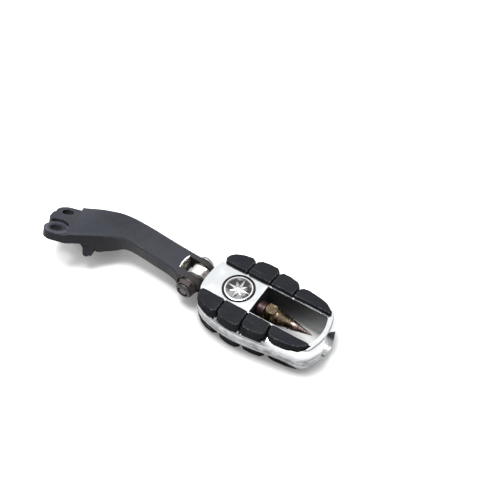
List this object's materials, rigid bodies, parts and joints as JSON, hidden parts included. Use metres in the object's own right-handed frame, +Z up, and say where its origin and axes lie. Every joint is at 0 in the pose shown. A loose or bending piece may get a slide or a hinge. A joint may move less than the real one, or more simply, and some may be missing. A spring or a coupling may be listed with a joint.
{
  "type": "folding passenger foot peg with mounting bracket",
  "caption": "Folding motorbike passenger peg: chromed body with rubber pads, a window with a spike, on a painted offset arm with a two-bolt mounting pad.",
  "frame": {"origin": "centre of the object in plan, on the plane it rests on", "axes": "+X along the peg towards its tip, +Y along the fold bolt towards its head, +Z up off the resting plane"},
  "size_m": [0.2718, 0.0822, 0.0425],
  "materials": {
    "black_paint": "semi-gloss black paint, worn",
    "zinc_steel": "zinc plated",
    "dark_steel": "dark, browned",
    "dark_nylon": "matte",
    "spring_steel": "bare spring steel",
    "bare_steel": "bare, bright",
    "cast_chrome": "polished and chrome plated casting, scuffed",
    "medallion_silver": "polished, black ring",
    "worn_bronze": "worn",
    "browned_steel": "rust brown",
    "black_rubber": "moulded rubber, worn"
  },
  "bodies": {
    "bracket": {"bracket_arm": "black_paint", "clevis_bolt": "zinc_steel", "clevis_washer": "dark_steel", "lock_nut": "dark_steel", "nut_collar": "dark_nylon", "spring_washer": "spring_steel"},
    "peg": {"peg_mount": "bare_steel", "peg_body": "cast_chrome", "medallion": "medallion_silver", "spike_bolt": "worn_bronze", "spike_collar": "browned_steel", "tread_pad_top_near_1": "black_rubber", "tread_pad_top_near_2": "black_rubber", "tread_pad_top_near_3": "black_rubber", "tread_pad_top_near_4": "black_rubber", "tread_pad_top_far_1": "black_rubber", "tread_pad_top_far_2": "black_rubber", "tread_pad_top_far_3": "black_rubber", "tread_pad_top_far_4": "black_rubber", "tread_pad_bottom_near_1": "black_rubber", "tread_pad_bottom_near_2": "black_rubber", "tread_pad_bottom_near_3": "black_rubber", "tread_pad_bottom_near_4": "black_rubber", "tread_pad_bottom_far_1": "black_rubber", "tread_pad_bottom_far_2": "black_rubber", "tread_pad_bottom_far_3": "black_rubber", "tread_pad_bottom_far_4": "black_rubber"}
  },
  "joints": [
    {"name": "peg_fold", "type": "hinge", "parent": "bracket", "child": "peg", "pos_m": [0.00918, 0.00621, 0.0188], "axis": [0, -1, 0], "range_deg": [0, 90]}
  ]
}
